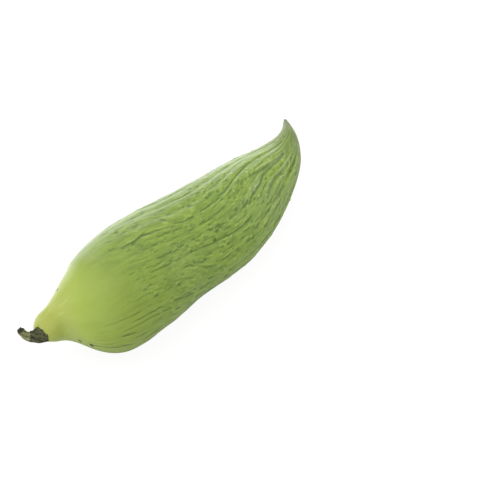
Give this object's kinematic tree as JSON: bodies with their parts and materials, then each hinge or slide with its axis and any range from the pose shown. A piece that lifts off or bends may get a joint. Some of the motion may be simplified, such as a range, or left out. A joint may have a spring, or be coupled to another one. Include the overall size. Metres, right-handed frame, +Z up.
{
  "type": "stuffing cucumber",
  "caption": "Green slipper gourd with a broad shoulder, ribbed skin and a hooked beak, with its dried stalk, lying on its side.",
  "frame": {"origin": "middle of the small flat spot that the fruit rests on", "axes": "+X from the stalk to the beak, +Y the side that the beak hooks towards, +Z up"},
  "size_m": [0.1648, 0.0523, 0.0435],
  "materials": {
    "gourd_skin": "waxy ribbed fruit skin, satin",
    "dried_stalk": "dried, ridged, dull"
  },
  "bodies": {
    "root": {"fruit": "gourd_skin", "stalk": "dried_stalk"}
  },
  "joints": []
}
